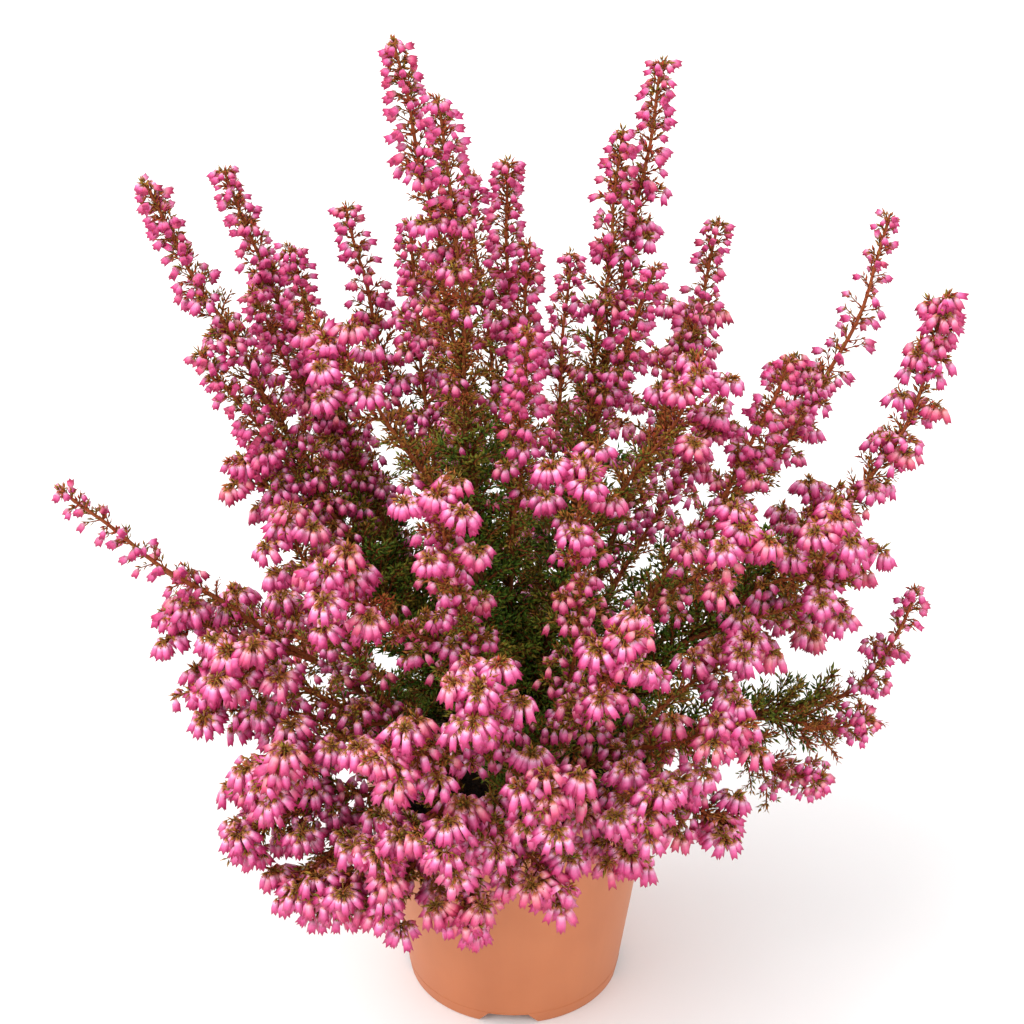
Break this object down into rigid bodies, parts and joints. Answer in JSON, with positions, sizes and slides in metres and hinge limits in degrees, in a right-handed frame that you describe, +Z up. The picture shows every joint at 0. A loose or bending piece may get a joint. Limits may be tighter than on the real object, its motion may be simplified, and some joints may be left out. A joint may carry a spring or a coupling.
{
  "type": "potted heath",
  "caption": "Flowering heath whose woody stems carry small nodding pink bells, in a round terracotta-coloured plastic pot.",
  "frame": {"origin": "middle of the pot's foot, on the surface that it stands on", "axes": "+Z up along the pot's axis, -Y towards the viewer of the picture, +X to that viewer's right"},
  "size_m": [0.2848, 0.2469, 0.3467],
  "materials": {
    "pot_plastic": "matte moulded plastic with a soft sheen and fine scuffs",
    "compost": "dark fibrous peat compost, crumbly",
    "heath_bells": "papery petals with a soft satin sheen, paler at the lobes",
    "heath_needles": "small firm needles, dull olive green",
    "heath_wood": "thin red-brown bark, slightly ribbed"
  },
  "bodies": {
    "root": {"pot": "pot_plastic", "soil": "compost", "flowering_stem_01": "heath_bells", "flowering_stem_02": "heath_bells", "flowering_stem_03": "heath_bells", "flowering_stem_04": "heath_bells", "flowering_stem_05": "heath_bells", "flowering_stem_06": "heath_bells", "flowering_stem_07": "heath_bells", "flowering_stem_08": "heath_bells", "flowering_stem_09": "heath_bells", "flowering_stem_10": "heath_bells", "flowering_stem_11": "heath_bells", "flowering_stem_12": "heath_bells", "flowering_stem_13": "heath_bells", "flowering_stem_14": "heath_bells", "flowering_stem_15": "heath_bells", "flowering_stem_16": "heath_bells", "flowering_stem_17": "heath_bells", "flowering_stem_18": "heath_bells", "flowering_stem_19": "heath_bells", "flowering_stem_20": "heath_bells", "flowering_stem_21": "heath_bells", "flowering_stem_22": "heath_bells", "flowering_stem_23": "heath_bells", "flowering_stem_24": "heath_bells", "flowering_stem_25": "heath_bells", "flowering_stem_26": "heath_bells", "flowering_stem_27": "heath_bells", "flowering_stem_28": "heath_bells", "flowering_stem_29": "heath_bells", "flowering_stem_30": "heath_bells"}
  },
  "joints": []
}
